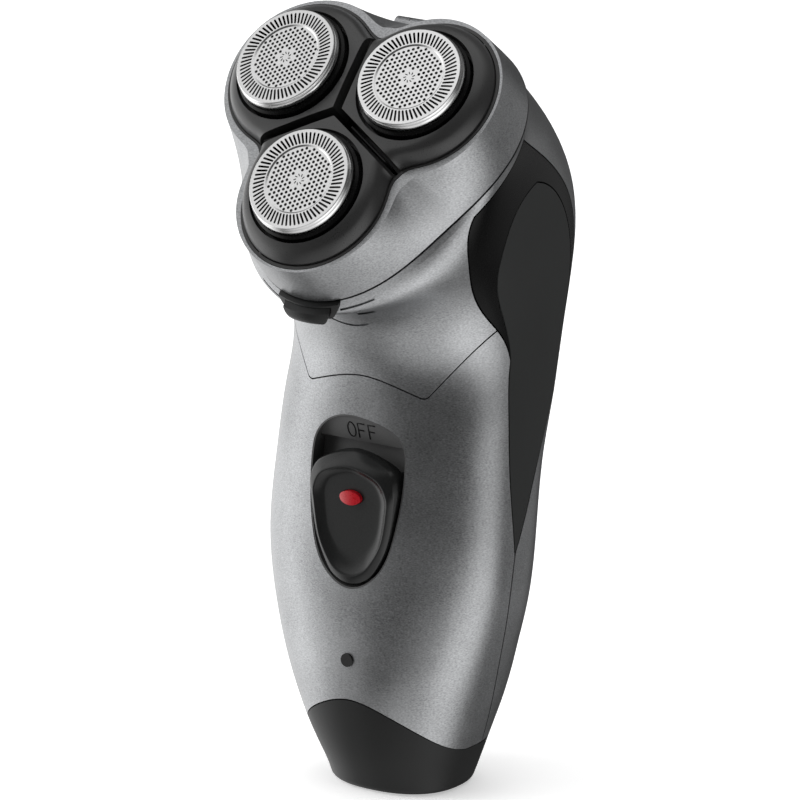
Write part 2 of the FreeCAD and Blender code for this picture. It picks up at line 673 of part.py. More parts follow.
def cutter():
    """Spinning cutter: a disc with upright blades and a long hub with a driving socket."""
    disc = revolve([(0, -2.0), (CUTTER_RADIUS - 0.3, -2.0), (CUTTER_RADIUS - 0.3, -2.7), (HUB_RADIUS, -3.4),
                    (HUB_RADIUS, -HUB_DEPTH), (SOCKET_RADIUS, -HUB_DEPTH), (SOCKET_RADIUS, -9.2), (0, -9.2)])
    blades = []
    for i in range(CUTTER_BLADES):
        blade = box((7.9, CUTTER_RADIUS - 0.4), (-0.25, 0.25), (-2.3, -0.9))
        blade.rotate(Vec(9, 0, 0), Z_AXIS, 25)
        blades.append(turned(blade, 360.0 * i / CUTTER_BLADES))
    return fuse(disc, *blades)


def cutter_retainer():
    """Three-armed plate that keeps the cutters in, with the boss for its knob."""
    plate = prism_polar(lambda a: rim_radius(a) - RING_OUTER_INSET - 1.0, RETAINER_DEPTH, RETAINER_DEPTH + 1.4)
    boss = cylinder(4.0, -RETAINER_DEPTH - 2.2, -RETAINER_DEPTH)
    plate = fuse(plate, boss)
    for angle in UNIT_ANGLES.values():
        a = math.radians(angle)
        hole = cylinder(8.2, -30, 0, 17.0 * math.cos(a), 17.0 * math.sin(a))
        plate = plate.cut(hole)
    return at_head(plate.cut(cylinder(1.6, -30, 0)))


def retainer_knob():
    """Quarter-turn knob that locks the retainer."""
    disc = cylinder(6.2, -19.4, -16.6)
    for i in range(6):
        disc = disc.cut(turned(cylinder(1.3, -30, 0, 7.0, 0), 60.0 * i))
    grip = box((-5.0, 5.0), (-0.9, 0.9), (-20.6, -19.4))
    stem = cylinder(1.5, -17, -RETAINER_DEPTH + 0.9)
    foot = cylinder(2.4, -RETAINER_DEPTH + 0.1, -RETAINER_DEPTH + 0.9)
    return at_head(fuse(disc, grip, stem, foot))


# ---- drive -------------------------------------------------------------------------------------
def gear(teeth, top_depth, thickness, phase):
    """Spur gear as straight-flanked teeth, phase in degrees of one tooth's centre."""
    pitch = MODULE * teeth / 2
    root, tip = pitch - 1.2 * MODULE, pitch + 0.8 * MODULE
    step = 360.0 / teeth
    points = []
    for i in range(teeth):
        centre = phase + i * step
        for radius, share in ((root, -0.30), (tip, -0.10), (tip, 0.10), (root, 0.30)):
            a = math.radians(centre + share * step)
            points.append(Vec(radius * math.cos(a), radius * math.sin(a), -top_depth - thickness))
    face = Part.Face(Part.makePolygon(points + points[:1]))
    return face.extrude(Vec(0, 0, thickness))


def meshing_phase(angle):
    """Turn of a driven gear that interleaves it with a pinion tooth pattern starting at 0 degrees."""
    pinion_step = 360.0 / PINION_TEETH
    behind = angle % pinion_step
    return angle + 180 + behind * PINION_TEETH / GEAR_TEETH - 180.0 / GEAR_TEETH


def spindle_centre(angle):
    a = math.radians(angle)
    return Vec(SPINDLE_CIRCLE * math.cos(a), SPINDLE_CIRCLE * math.sin(a), 0)


def drive_spindle(angle):
    """Driven gear with its shaft and the flattened driver that turns a cutter."""
    wheel = gear(GEAR_TEETH, GEAR_TOP, GEAR_THICKNESS, meshing_phase(angle))
    shaft = cylinder(SHAFT_RADIUS, -BRACKET_BOTTOM, -SPINDLE_TIP_DEPTH - 1)
    driver = cylinder(1.6, -SPINDLE_TIP_DEPTH - 3, -SPINDLE_TIP_DEPTH)
    driver = driver.common(box((-2, 2), (-1.15, 1.15), (-40, 0)))
    spindle = fuse(wheel, shaft, driver)
    spindle.translate(spindle_centre(angle))
    return at_head(spindle)


def spindle_springs():
    """Sleeves that stand for the three coil springs round the spindles."""
    springs = []
    for angle in UNIT_ANGLES.values():
        spring = tube(1.9, SHAFT_RADIUS + 0.35, -17.3, -SPINDLE_TIP_DEPTH - 3.3)
        spring.translate(spindle_centre(angle))
        springs.append(at_head(spring))
    return springs


def gear_plate():
    """Plate that closes the neck under the head, with three raised bearings."""
    core = handle_form(WALL + 0.15, COLLAR_DEPTH - 0.6)
    plate = core.common(slab(PLATE_TOP, PLATE_BOTTOM))
    for angle in UNIT_ANGLES.values():
        boss = cylinder(3.2, -PLATE_TOP - 0.4, -17.6)
        boss.translate(spindle_centre(angle))
        plate = fuse(plate, at_head(boss))
    for angle in UNIT_ANGLES.values():
        bore = cylinder(SHAFT_RADIUS + 0.06, -60, 0)
        bore.translate(spindle_centre(angle))
        plate = plate.cut(at_head(bore))
    for centre in plate_screw_centres():
        hole = cylinder(1.05, -60, 0)
        hole.translate(centre)
        plate = plate.cut(at_head(hole))
    button_way = at_head(box((-BUTTON_HALF - 0.4, BUTTON_HALF + 0.4), (-40, -29.8), (-30, -15)))
    tongue_way = at_head(box((-3.2, 3.2), (-40, -27.2), (-30, -15)))
    spring_way = at_head(cylinder(SPRING_RADIUS + 0.1, -40, -24.5, 0, -SPRING_DEPTH, Y_AXIS))
    hinge_way = at_head(box((-HINGE_OUTER - 0.5, HINGE_OUTER + 0.5), (HINGE_V - 2.9, 40), (-30, -15)))
    return biggest(cut(plate, button_way, tongue_way, spring_way, hinge_way))


def plate_screw_centres():
    return [Vec(24.0 * math.cos(math.radians(a)), 24.0 * math.sin(math.radians(a)), 0) for a in (-30, 90, 210)]


def plate_screws():
    screws = []
    for centre in plate_screw_centres():
        screw = fuse(cylinder(1.0, -BRACKET_TOP - 1.2, -PLATE_TOP), cylinder(1.9, -PLATE_TOP, -PLATE_TOP + 1.2))
        screw = screw.cut(box((-1.3, 1.3), (-0.25, 0.25), (-PLATE_TOP + 0.7, -PLATE_TOP + 2)))
        screw.translate(centre)
        screws.append(at_head(screw))
    return screws


def motor_bracket():
    """Lower plate of the gear train, on three posts, that the motor hangs from."""
    plate = cylinder(25.0, -BRACKET_BOTTOM, -BRACKET_TOP)
    parts = []
    for centre in plate_screw_centres():
        post = cylinder(2.6, -BRACKET_TOP - 0.2, -PLATE_BOTTOM - 0.05)
        post.translate(centre)
        parts.append(post)
    bracket = fuse(plate, *parts)
    for centre in plate_screw_centres():
        hole = cylinder(1.05, -60, 0)
        hole.translate(centre)
        bracket = bracket.cut(hole)
    for angle in UNIT_ANGLES.values():
        bore = cylinder(SHAFT_RADIUS + 0.06, -60, 0)
        bore.translate(spindle_centre(angle))
        bracket = bracket.cut(bore)
    bracket = bracket.cut(cylinder(3.1, -60, 0))
    core = handle_form(WALL + 0.3, COLLAR_DEPTH - 0.6)
    return biggest(at_head(bracket).common(core))


def motor():
    """Small direct-current motor hanging from the bracket."""
    can = cylinder(MOTOR_RADIUS, -BRACKET_BOTTOM - MOTOR_LENGTH, -BRACKET_BOTTOM)
    flat = 9.6
    can = can.common(box((-20, 20), (-flat, flat), (-BIG, 0)))
    nose = cylinder(3.0, -BRACKET_BOTTOM, -BRACKET_TOP - 0.1)
    end_bell = cylinder(4.0, -BRACKET_BOTTOM - MOTOR_LENGTH - 1.6, -BRACKET_BOTTOM - MOTOR_LENGTH)
    body = fuse(can, nose, end_bell)
    return at_head(body.cut(cylinder(0.85, -BRACKET_BOTTOM - 8, 0)))


def motor_pinion():
    pinion = gear(PINION_TEETH, GEAR_TOP, GEAR_THICKNESS, 0.0)
    shaft = cylinder(0.8, -BRACKET_BOTTOM - 7, -GEAR_TOP - 0.5)
    return at_head(fuse(pinion, shaft))


def hinge_pin():
    return hinge_barrel(HINGE_PIN_RADIUS, -HINGE_OUTER + 0.2, HINGE_OUTER - 0.2)


# ---- release button ----------------------------------------------------------------------------


def release_bezel():
    """Black surround of the release button, standing slightly proud of the chin."""
    lip = handle_form(-0.9).cut(INNER)
    bezel = lip.common(release_zone(-0.05)).cut(slab(-5, COLLAR_DEPTH + 0.12))
    way = oval(BUTTON_HALF + BUTTON_GAP, BUTTON_TOP - BUTTON_GAP, BUTTON_BOTTOM + BUTTON_GAP, -60, -20)
    return biggest(bezel.cut(at_head(way)))


def release_button():
    """Push button with the tongue that holds the head shut."""
    block = at_head(oval(BUTTON_HALF, BUTTON_TOP, BUTTON_BOTTOM, -50, -31.4))
    button = RAISED.common(block)
    stem = at_head(box((-2.6, 2.6), (-33.5, -28.9), (-BUTTON_BOTTOM + 0.8, -BUTTON_TOP - 0.4)))
    tongue = at_head(box((-2.6, 2.6), (-29.9, -28.9), (-BUTTON_BOTTOM + 0.8, -17.4)))
    return fuse(button, stem, tongue)


def release_spring():
    """Sleeve that stands for the return spring behind the button."""
    return at_head(tube(SPRING_RADIUS, 0.8, -27.5, -24.6, 0, -SPRING_DEPTH, Y_AXIS))


# ---- power switch ------------------------------------------------------------------------------
def slider_face_profile():
    """Side view of the slider: a raised ridge at the top and a hollow thumb face below it."""
    back_low, back_high = SLIDER_BOTTOM - 1, SLIDER_TOP + 1
    ridge = [(-17.0, 76.5), (-19.9, 73.9), (-19.7, 71.4)]
    hollow = [(-19.7, 71.4), (-19.1, 64.0), (-19.8, 56.0), (-20.5, 47.0)]
    start = (floor_y(back_high, -0.3), back_high)
    end = (floor_y(back_low, -0.3), back_low)
    points = [side_point(p) for p in ridge]
    dish = [side_point(p) for p in hollow]
    top, bottom = side_point(start), side_point(end)
    edges = [line(bottom, top), line(top, points[0]), spline(points), spline(dish), line(dish[-1], bottom)]
    return side_prism(edges, -20, 20)


def ramp_clearance():
    """What the slider's back leaves free, so that its top can ride up over the ramp."""
    low, high = RAMP_LOW[1] - SLIDER_TRAVEL - 0.5, SLIDER_TOP + 1
    lean = (RAMP_LOW[0] - RAMP_HIGH[0]) / (RAMP_HIGH[1] - RAMP_LOW[1])
    near = RAMP_LOW[0] - SLIDE_SLOPE * SLIDER_TRAVEL - 0.35
    return side_polygon([(0, low), (near, low), (near - lean * (high - low), high), (0, high)], -20, 20)


def lock_outline(grow):
    ellipse = Part.Ellipse(Vec(), LOCK_HALF_WIDTH + grow, LOCK_HALF_HEIGHT + grow)
    wire = Part.Wire(ellipse.toShape())
    face = Part.Face(wire)
    face.rotate(Vec(), X_AXIS, 90)
    face.translate(Vec(0, -24, LOCK_Z))
    return face


def switch_slider():
    pear = front_prism(pear_edges(SLIDER_TOP, SLIDER_SIDE, SLIDER_BOTTOM), -60, 0)
    slider = pear.common(slider_face_profile())
    stem = box((-STEM_HALF, STEM_HALF), (-15, -10.9), (STEM_LOW, STEM_HIGH))
    slider = fuse(slider.cut(ramp_clearance()), stem)
    pocket = lock_outline(0.12).extrude(Vec(0, 8.3, 0))
    return slider.cut(pocket)


def lock_button():
    """Small oval safety button in the slider."""
    button = lock_outline(0).extrude(Vec(0, 6.8, 0))
    crown = Part.makeSphere(9.0, Vec(0, -10.9, LOCK_Z))
    return button.common(crown)


def switch_body():
    return box((-4.0, 4.0), (-10.4, -7.2), (54.0, 70.0)).cut(
        box((-1.9, 1.9), (-11, -8.8), (STEM_LOW - 0.5, STEM_HIGH + SLIDER_TRAVEL + 0.5)))


# ---- handle internals --------------------------------------------------------------------------
def circuit_board():
    board = box((-12, 12), (BOARD_FRONT, BOARD_BACK), (24, 84))
    for x, z in board_screw_places():
        board = board.cut(cylinder(1.05, -20, 0, x, z, Y_AXIS))
    return board


def board_screw_places():
    return [(-9.5, 44.0), (9.5, 44.0), (-9.5, 80.0), (9.5, 80.0)]


def board_screws():
    screws = []
    for x, z in board_screw_places():
        screws.append(fuse(cylinder(1.0, -8.4, BOARD_BACK + 1.0, x, z, Y_AXIS),
                           cylinder(1.9, -8.8, BOARD_FRONT - 0.02, x, z, Y_AXIS)))
    return screws


def transformer():
    core = box((-6.5, 5.5), (-14.6, BOARD_FRONT - 0.02), (35.4, 43.4))
    winding = box((-5.1, 4.1), (-15.4, -8.6), (34.6, 44.2))
    return fuse(core, winding)


def capacitors():
    return [cylinder(2.5, -13.0, BOARD_FRONT - 0.02, x, 51.0, Y_AXIS) for x in (-8.6, 8.6)]


def light_pipe():
    front = cylinder(LIGHT_RADIUS, -20.9, -13.9, 0, LIGHT_Z, Y_AXIS)
    flange = cylinder(2.4, -17.4, -15.8, 0, LIGHT_Z, Y_AXIS)
    return fuse(front, flange)


def indicator_led():
    bulb = cylinder(1.5, -12.0, -8.8, 0, LIGHT_Z, Y_AXIS)
    tip = Part.makeSphere(1.5, Vec(0, -12.0, LIGHT_Z))
    foot = cylinder(1.9, -8.8, BOARD_FRONT - 0.02, 0, LIGHT_Z, Y_AXIS)
    return fuse(bulb, tip, foot)


def cell(side):
    body = cylinder(CELL_RADIUS, CELL_BOTTOM, CELL_BOTTOM + CELL_LENGTH - 1, side * 7.5, CELL_Y)
    nub = cylinder(2.6, CELL_BOTTOM + CELL_LENGTH - 1, CELL_BOTTOM + CELL_LENGTH, side * 7.5, CELL_Y)
    return fuse(body, nub)


def cell_tabs():
    top = CELL_BOTTOM + CELL_LENGTH
    tabs = [box((side * 7.5 - 3, side * 7.5 + 3), (CELL_Y - 3, CELL_Y + 3), (top + 0.02, top + 0.4))
            for side in (-1, 1)]
    return tabs + [box((-11, 11), (CELL_Y - 3, CELL_Y + 3), (CELL_BOTTOM - 0.42, CELL_BOTTOM - 0.02))]


def cell_cradle():
    """Moulded tray that holds both cells behind the board."""
    tray = box((-17, 17), (-4.6, 16.0), (19.4, 84.0))
    tray = tray.common(handle_form(WALL + 0.25))
    for side in (-1, 1):
        tray = tray.cut(cylinder(CELL_RADIUS + 0.15, 22.4, 79, side * 7.5, CELL_Y))
    tray = tray.cut(box((-13, 13), (CELL_Y - 4, BIG), (21.4, 80)))
    for x, z in board_screw_places():
        tray = tray.cut(cylinder(1.02, -5.2, 0, x, z, Y_AXIS))
    return biggest(tray)


def charging_jack():
    low = INLET_LENGTH + 3.45
    body = cylinder(5.4, low, low + 8.5, 0, INLET_Y)
    socket = cylinder(2.9, low - 1, low + 7, 0, INLET_Y)
    pin = cylinder(0.65, INLET_LENGTH + 1.2, low + 7.5, 0, INLET_Y)
    return fuse(body.cut(socket), pin)


# ---- trimmer -----------------------------------------------------------------------------------
def trimmer_window(margin):
    half = TRIMMER_HALF + margin
    return box((-half, half), (TRIMMER_FRONT_Y - 8, 60), (TRIMMER_BOTTOM - margin, TRIMMER_TOP + margin))


def trimmer_housing():
    """Flush door at the back that carries the blades, hinged at its lower edge."""
    half = TRIMMER_HALF
    block = box((-half, half), (TRIMMER_FRONT_Y + 0.8, 60), (TRIMMER_BOTTOM, TRIMMER_TOP))
    door = OUTER.common(block)
    blade_bay = box((-half - 1, half + 1), (TRIMMER_FRONT_Y - 1, 36.2), (TRIMMER_TOP - 4.4, TRIMMER_TOP + 1))
    door = door.cut(blade_bay)
    y, z = TRIMMER_AXIS
    swing = box((-half - 1, half + 1), (TRIMMER_FRONT_Y - 1, 60), (TRIMMER_BOTTOM - 5, z)).cut(
        cylinder(TRIMMER_BARREL, -half - 1, half + 1, y, z, X_AXIS))
    door = door.cut(swing)
    return biggest(door.cut(cylinder(0.86, -20, 20, y, z, X_AXIS)))


def trimmer_comb():
    """Fixed toothed plate on top of the trimmer housing."""
    half = TRIMMER_HALF - 1.0
    low, high = TRIMMER_TOP - 4.4, TRIMMER_TOP - 0.3
    plate = box((-half, half), (34.6, 36.1), (low + 0.05, high))
    return toothed(plate, half, high)


def trimmer_blade():
    """Moving toothed plate that lies on the comb."""
    half = TRIMMER_HALF - 2.2
    low, high = TRIMMER_TOP - 4.4, TRIMMER_TOP - 0.6
    plate = box((-half, half), (33.3, 34.5), (low + 0.05, high))
    return toothed(plate, half, high)


def toothed(plate, half, high):
    pitch, slot, depth = 1.6, 0.7, 1.6
    count = int(2 * half / pitch)
    start = -(count - 1) * pitch / 2
    slots = [box((start + i * pitch - slot / 2, start + i * pitch + slot / 2), (30, 40), (high - depth, high + 1))
             for i in range(count)]
    return plate.cut(Part.makeCompound(slots))


def trimmer_pin():
    y, z = TRIMMER_AXIS
    return cylinder(0.8, -TRIMMER_PIN_HALF, TRIMMER_PIN_HALF, y, z, X_AXIS)


def trimmer_bay():
    """Tray behind the trimmer that closes the handle off."""
    half = TRIMMER_HALF + 1.5
    outer = box((-half, half), (TRIMMER_FRONT_Y - 1.2, 37.0), (TRIMMER_BOTTOM - 1.5, TRIMMER_TOP + 1.5))
    inner = box((-TRIMMER_HALF - 0.3, TRIMMER_HALF + 0.3), (TRIMMER_FRONT_Y, 60),
                (TRIMMER_BOTTOM - 0.3, TRIMMER_TOP + 0.3))
    tray = outer.cut(inner).common(handle_form(WALL + 0.1))
    y, z = TRIMMER_AXIS
    return biggest(tray.cut(cylinder(0.82, -20, 20, y, z, X_AXIS)))


def catch_slot():
    return box((-CATCH_HALF - 0.3, CATCH_HALF + 0.3), (16, 50), (CATCH_LOW - 0.3, CATCH_HIGH + CATCH_TRAVEL + 0.3))


def trimmer_catch():
    """Small ribbed slider that lets the trimmer spring out."""
    knob = handle_form(-0.9).common(box((-CATCH_HALF, CATCH_HALF), (16, 50), (CATCH_LOW, CATCH_HIGH)))
    plate = handle_form(WALL + 0.6).common(
        box((-CATCH_HALF - 1.3, CATCH_HALF + 1.3), (16, 50), (CATCH_LOW - 2.4, CATCH_HIGH + CATCH_TRAVEL + 2.2)))
    inside = handle_form(WALL + 1.6)
    return biggest(fuse(knob, plate).cut(inside))


# ---- the assembly ------------------------------------------------------------------------------
def assembly():
    parts = {
        "front_shell": front_shell(),
        "neck_panel": neck_panel(),
        "rear_shell": rear_shell(),
        "bottom_cap": bottom_cap(),
        "head_frame": head_frame(),
        "head_carrier": head_carrier(),
        "pod_pins": pod_pins(),
        "cutter_retainer": cutter_retainer(),
        "retainer_knob": retainer_knob(),
        "spindle_springs": spindle_springs(),
        "gear_plate": gear_plate(),
        "plate_screws": plate_screws(),
        "motor_bracket": motor_bracket(),
        "motor": motor(),
        "motor_pinion": motor_pinion(),
        "hinge_pin": hinge_pin(),
        "release_bezel": release_bezel(),
        "release_button": release_button(),
        "release_spring": release_spring(),
        "switch_recess": switch_recess(),
        "switch_slider": switch_slider(),
        "lock_button": lock_button(),
        "switch_body": switch_body(),
        "circuit_board": circuit_board(),
        "board_screws": board_screws(),
        "transformer": transformer(),
        "capacitors": capacitors(),
        "light_pipe": light_pipe(),
        "indicator_led": indicator_led(),
        "cell_left": cell(-1),
        "cell_right": cell(1),
        "cell_tabs": cell_tabs(),
        "cell_cradle": cell_cradle(),
        "charging_jack": charging_jack(),
        "trimmer_housing": trimmer_housing(),
        "trimmer_comb": trimmer_comb(),
        "trimmer_blade": trimmer_blade(),
        "trimmer_pin": trimmer_pin(),
        "trimmer_bay": trimmer_bay(),
        "trimmer_catch": trimmer_catch(),
    }
    parts.update(pods())
    trim, pad = grip_trim(), grip_pad()
    parts["grip_trim_right"], parts["grip_trim_left"] = trim, mirrored(trim)
    parts["grip_pad_right"], parts["grip_pad_left"] = pad, mirrored(pad)
    for name, angle in UNIT_ANGLES.items():
        parts["cap_" + name] = at_unit(cap(), angle)
        parts["cap_ring_" + name] = at_unit(cap_ring(), angle)
        parts["cutter_" + name] = at_unit(cutter(), angle)
        parts["drive_spindle_" + name] = drive_spindle(angle)
    return parts


def main():
    os.makedirs("parts", exist_ok=True)
    for name, shape in assembly().items():
        solids = shape if isinstance(shape, list) else [shape]
        whole = solids[0] if len(solids) == 1 else Part.makeCompound(solids)
        whole.exportStep(os.path.join("parts", name + ".step"))
        if not whole.isValid() or len(whole.Solids) != len(solids):
            print(f"check {name}: valid {whole.isValid()}, {len(whole.Solids)} solids")
    print("solids written:", len(os.listdir("parts")))


main()
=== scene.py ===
"""Looks of the three-head rotary shaver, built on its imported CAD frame.

Everything stands where the CAD model stands, with z up and the switch on the -y side.
"""

import json
import math

import bmesh
import bpy
from mathutils import Matrix, Vector


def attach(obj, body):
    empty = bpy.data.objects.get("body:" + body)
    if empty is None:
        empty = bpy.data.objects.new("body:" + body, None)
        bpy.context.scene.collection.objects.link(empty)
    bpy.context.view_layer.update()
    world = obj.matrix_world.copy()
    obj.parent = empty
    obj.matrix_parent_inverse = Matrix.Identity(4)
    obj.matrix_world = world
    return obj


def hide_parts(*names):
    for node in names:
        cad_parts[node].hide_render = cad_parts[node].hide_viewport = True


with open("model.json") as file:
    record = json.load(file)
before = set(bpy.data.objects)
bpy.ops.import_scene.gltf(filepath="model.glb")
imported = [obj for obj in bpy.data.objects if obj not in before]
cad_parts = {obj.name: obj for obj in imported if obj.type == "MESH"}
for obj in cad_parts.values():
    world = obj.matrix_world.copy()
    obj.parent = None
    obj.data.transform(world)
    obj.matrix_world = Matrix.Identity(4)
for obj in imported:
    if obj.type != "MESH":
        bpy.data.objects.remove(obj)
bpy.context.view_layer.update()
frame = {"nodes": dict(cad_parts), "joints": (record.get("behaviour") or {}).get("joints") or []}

MM = 0.001
NODES = frame["nodes"]
JOINTS = {joint["name"]: joint for joint in frame["joints"]}
UNITS = ("front", "right", "left")

# ---- driving dimensions: camera, caps, springs and ribs, in metres ------------------------------
CAMERA_AZIMUTH, CAMERA_ELEVATION = 34.0, 16.1      # degrees
CAMERA_DISTANCE = 2.0
CAMERA_LENS, CAMERA_SENSOR = 428.8, 36.0           # millimetres
CAMERA_CLIP = (0.1, 20.0)
CAMERA_AIM = Vector((-0.51, 0.0, 82.92)) * MM

CAP_SLOTS = 66
CAP_PLATE = 0.35 * MM                              # thickness of the perforated plate
CAP_EDGE, CAP_EDGE_DROP = 0.27 * MM, 0.29 * MM     # width and height of the chamfer round it
SLOT_INNER, SLOT_OUTER = 0.69, 0.925               # shares of the cap's radius
SLOT_WIDTH = 0.46 * MM
SLOT_SWIRL = math.radians(12)
HOLE_PITCH, HOLE_RADIUS = 1.07 * MM, 0.34 * MM
HONEYCOMB = math.sin(math.radians(60))             # distance of its rows, as a share of the pitch
TRACK_INNER, HOLE_FIELD, SOLID_CENTRE = 0.675, 0.645, 0.165      # shares of the cap's radius
TRACK_SINK, FIELD_SINK = 0.02 * MM, 0.26 * MM      # depths below the top of the cap
RIM_POINTS, STEP_POINTS, HOLE_POINTS, SLOT_END_POINTS = 144, 96, 12, 4
STAR_STROKES = 9
STAR_RADIUS, STAR_LEAN = 1.0 * MM, math.radians(20)
STROKE_LENGTH, STROKE_WIDTH = 0.6 * MM, 0.16 * MM
STROKE_RISE, STROKE_ROUND = 0.03 * MM, 0.02 * MM

# Side of a cap below its chamfer, in millimetres: stand-out past the cap's radius, and height.
SKIRT_FLARE = 0.35
CAP_SIDE = [
    (0.0, -0.4), (-0.14, -0.45), (-0.14, -0.6), (0.0, -0.7),     # fine undercut line
    (SKIRT_FLARE, -1.6), (SKIRT_FLARE - 0.1, -1.75),             # skirt
    (-0.1, -1.8), (-0.1, -4.6), (-0.6, -4.6),                    # foot
]

SPRING_WIRE, SPRING_TURNS = 0.28 * MM, 4           # radius of the wire
SPRING_STEPS, SPRING_ROUND = 20, 3                 # points to a turn, roundness of the wire
SPINDLE_COIL_RADIUS, RELEASE_COIL_RADIUS = 1.9 * MM, 1.35 * MM
SPINDLE_SPRING = (9.75 * MM, 12.1 * MM)            # ends, along the spindle from its joint
RELEASE_SPRING = [(0, -27.4 * MM, -22.4 * MM), (0, -24.7 * MM, -22.4 * MM)]      # in the head frame
MOTOR_DEPTH = 27.0 * MM                            # joint of the motor, below the plane of the caps

RIB_TURNS = (-30, 90, 210)                         # degrees of the channels between the pods
RIB_START, RIB_END = 4.5 * MM, 17.5 * MM
RIB_HALF, RIB_TOP, RIB_FOOT = 0.3 * MM, -4.6 * MM, -12.4 * MM

# ---- driving dimensions: switch, in millimetres -------------------------------------------------
# Outlines of the thumb slider, seen from the front as (x, z), with the mirror half left out.
SLIDER_EDGE = [(0.0, 76.25), (8.3, 73.55), (10.4, 69.4), (10.3, 64.8),
               (8.8, 56.7), (5.9, 50.9), (3.1, 48.5), (0.0, 47.8)]
SLIDER_RIM = [(0.0, 73.1), (6.5, 71.3), (9.0, 67.8), (9.0, 64.0),
              (7.7, 57.2), (5.0, 52.4), (2.7, 50.4), (0.0, 49.7)]
SLIDER_FLOOR = [(0.0, 71.4), (4.9, 69.9), (6.6, 67.2), (6.6, 64.0),
                (5.9, 59.4), (3.9, 55.9), (2.1, 54.7), (0.0, 54.3)]
SLIDER_STEPS = 12                                  # mesh steps between two of those points
SHOULDER_RINGS, DISH_RINGS, LOCK_RINGS = 8, 10, 4  # mesh rings up to the rim, floor and lock
THUMB_Y, THUMB_Z, THUMB_CURVE = -19.15, 64.0, 0.0045
RIM_LIFT, DISH_DEPTH = 0.45, 0.95
SHOULDER_DROP, SHOULDER_POWER = 0.9, 1.4
TOP_DROP, TOP_DROP_START, TOP_DROP_SPAN = 2.1, 69.0, 7.0         # extra drop of the shoulder's top
SLIDE_SLOPE = 0.11
RECESS_FLOOR_Y, RECESS_FLOOR_Z = -13.7, 62.0
RAMP_LOW, RAMP_HIGH = (-13.6, 77.2), (-15.2, 82.2)               # (y, z) ends, above the slider
CLEAR_Z, CLEAR_Y = 72.2, -14.45                    # the slider's back clears the ramp from here up
LOCK_Z, LOCK_HALF_WIDTH, LOCK_HALF_HEIGHT = 66.4, 2.72, 1.62
POCKET_DEPTH = 2.6
LEGEND_X, LEGEND_Z = -0.3, 79.7
LEGEND_HEIGHT, LEGEND_WIDTH, LEGEND_GAP = 3.5, 1.9, 0.75
LEGEND_STROKE, LEGEND_SINK = 0.2, 0.08             # radius of a stroke, depth of its middle
LEGEND_BAR, LEGEND_BAR_SHARE = 0.1, 0.8            # middle bar of an F: height, share of the width
LEGEND_POINTS = 28

# CAD nodes by finish.
FINISHES = {
    "silver_paint": ["front_shell", "neck_panel", "rear_shell", "head_frame", "trimmer_housing"],
    "black_gloss": ["grip_trim_right", "grip_trim_left", "cap_ring_front", "cap_ring_right",
                    "cap_ring_left", "trimmer_catch"],
    "pod_black": ["pod_front", "pod_right", "pod_left"],
    "switch_black": ["release_bezel", "release_button", "switch_slider"],
    "dark_plastic": ["bottom_cap", "switch_body", "trimmer_bay", "charging_jack",
                     "transformer", "capacitors", "gear_plate", "cutter_retainer", "retainer_knob"],
    "ring_grey": ["head_carrier"],
    "recess_grey": ["switch_recess"],
    "rubber": ["grip_pad_right", "grip_pad_left"],
    # The cutters get near-black steel: painted shade that keeps the cap holes dark.
    "cutter_steel_painted_shade": ["cutter_front", "cutter_right", "cutter_left"],
    "steel": ["pod_pins", "spindle_springs", "plate_screws", "motor", "hinge_pin", "release_spring",
              "board_screws", "cell_tabs", "trimmer_comb", "trimmer_blade", "trimmer_pin"],
    "red_plastic": ["lock_button"],
    "white_plastic": ["motor_bracket", "motor_pinion", "cell_cradle", "drive_spindle_front",
                      "drive_spindle_right", "drive_spindle_left"],
    "lens": ["light_pipe", "indicator_led"],
    "board": ["circuit_board"],
    "cell_wrap": ["cell_left", "cell_right"],
}


# ---- materials ---------------------------------------------------------------------------------
GRAIN_DETAIL = 3.0
CLOUD_SHARE = 0.3                                  # of the broad noise in the mix
NOISE_LOW, NOISE_HIGH = 0.3, 0.7                   # part of the mix that spans a whole finish
FLOAT_PAIR, FLOAT_RESULT = (2, 3), 0               # sockets of a Mix node
COLOUR_PAIR, COLOUR_RESULT = (6, 7), 2


